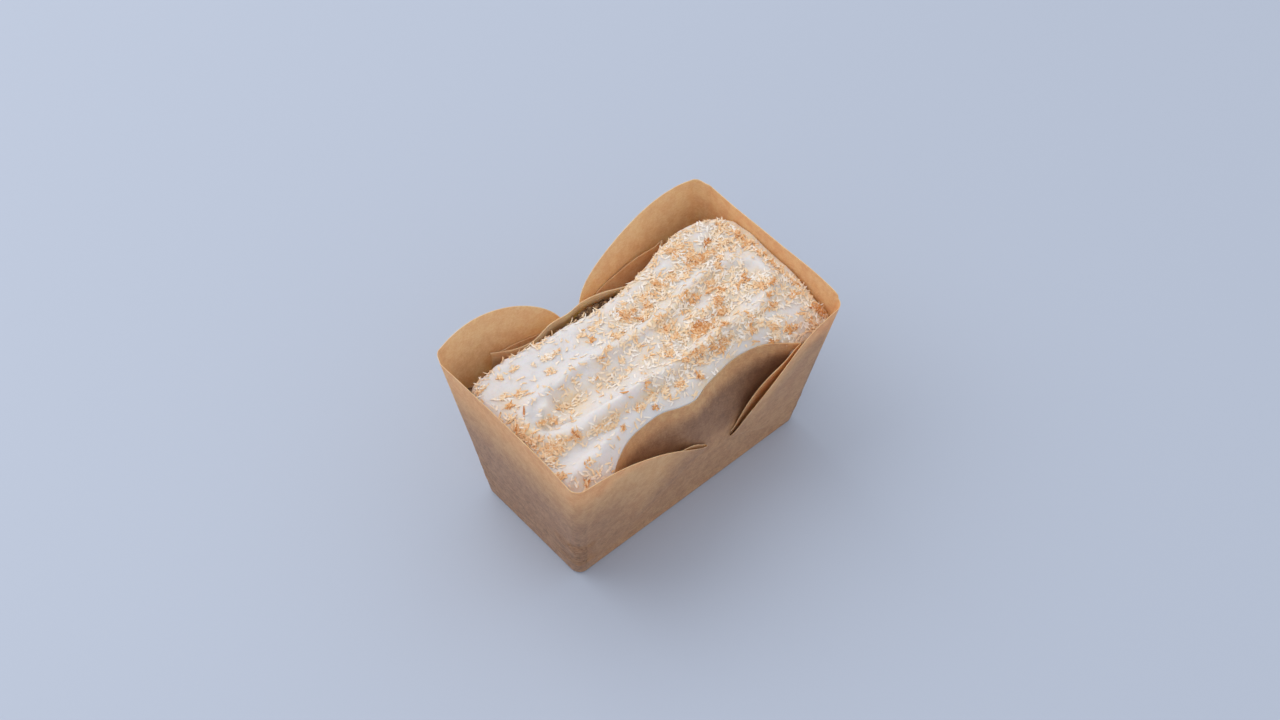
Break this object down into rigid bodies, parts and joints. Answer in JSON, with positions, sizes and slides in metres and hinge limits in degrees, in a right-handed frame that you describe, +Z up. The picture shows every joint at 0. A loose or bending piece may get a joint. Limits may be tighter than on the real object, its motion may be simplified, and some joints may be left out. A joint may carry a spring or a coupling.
{
  "type": "carrot cake",
  "caption": "Small iced carrot loaf cake in a flared brown paper case with folded ears and tongues that lean over the icing.",
  "frame": {"origin": "middle of the paper case's base, on the table", "axes": "+X along the case, +Y across it, +Z up"},
  "size_m": [0.104, 0.0657, 0.0624],
  "materials": {
    "brown_paper": "unbleached brown baking paper, matt, with grease marks",
    "sponge_crumb": "open brown cake crumb, dry and matt",
    "white_icing": "soft white icing in spatula strokes, satin",
    "toasted_coconut": "fine shreds of toasted coconut, cream to golden brown"
  },
  "bodies": {
    "root": {"paper_case": "brown_paper", "sponge": "sponge_crumb", "icing": "white_icing"}
  },
  "joints": []
}
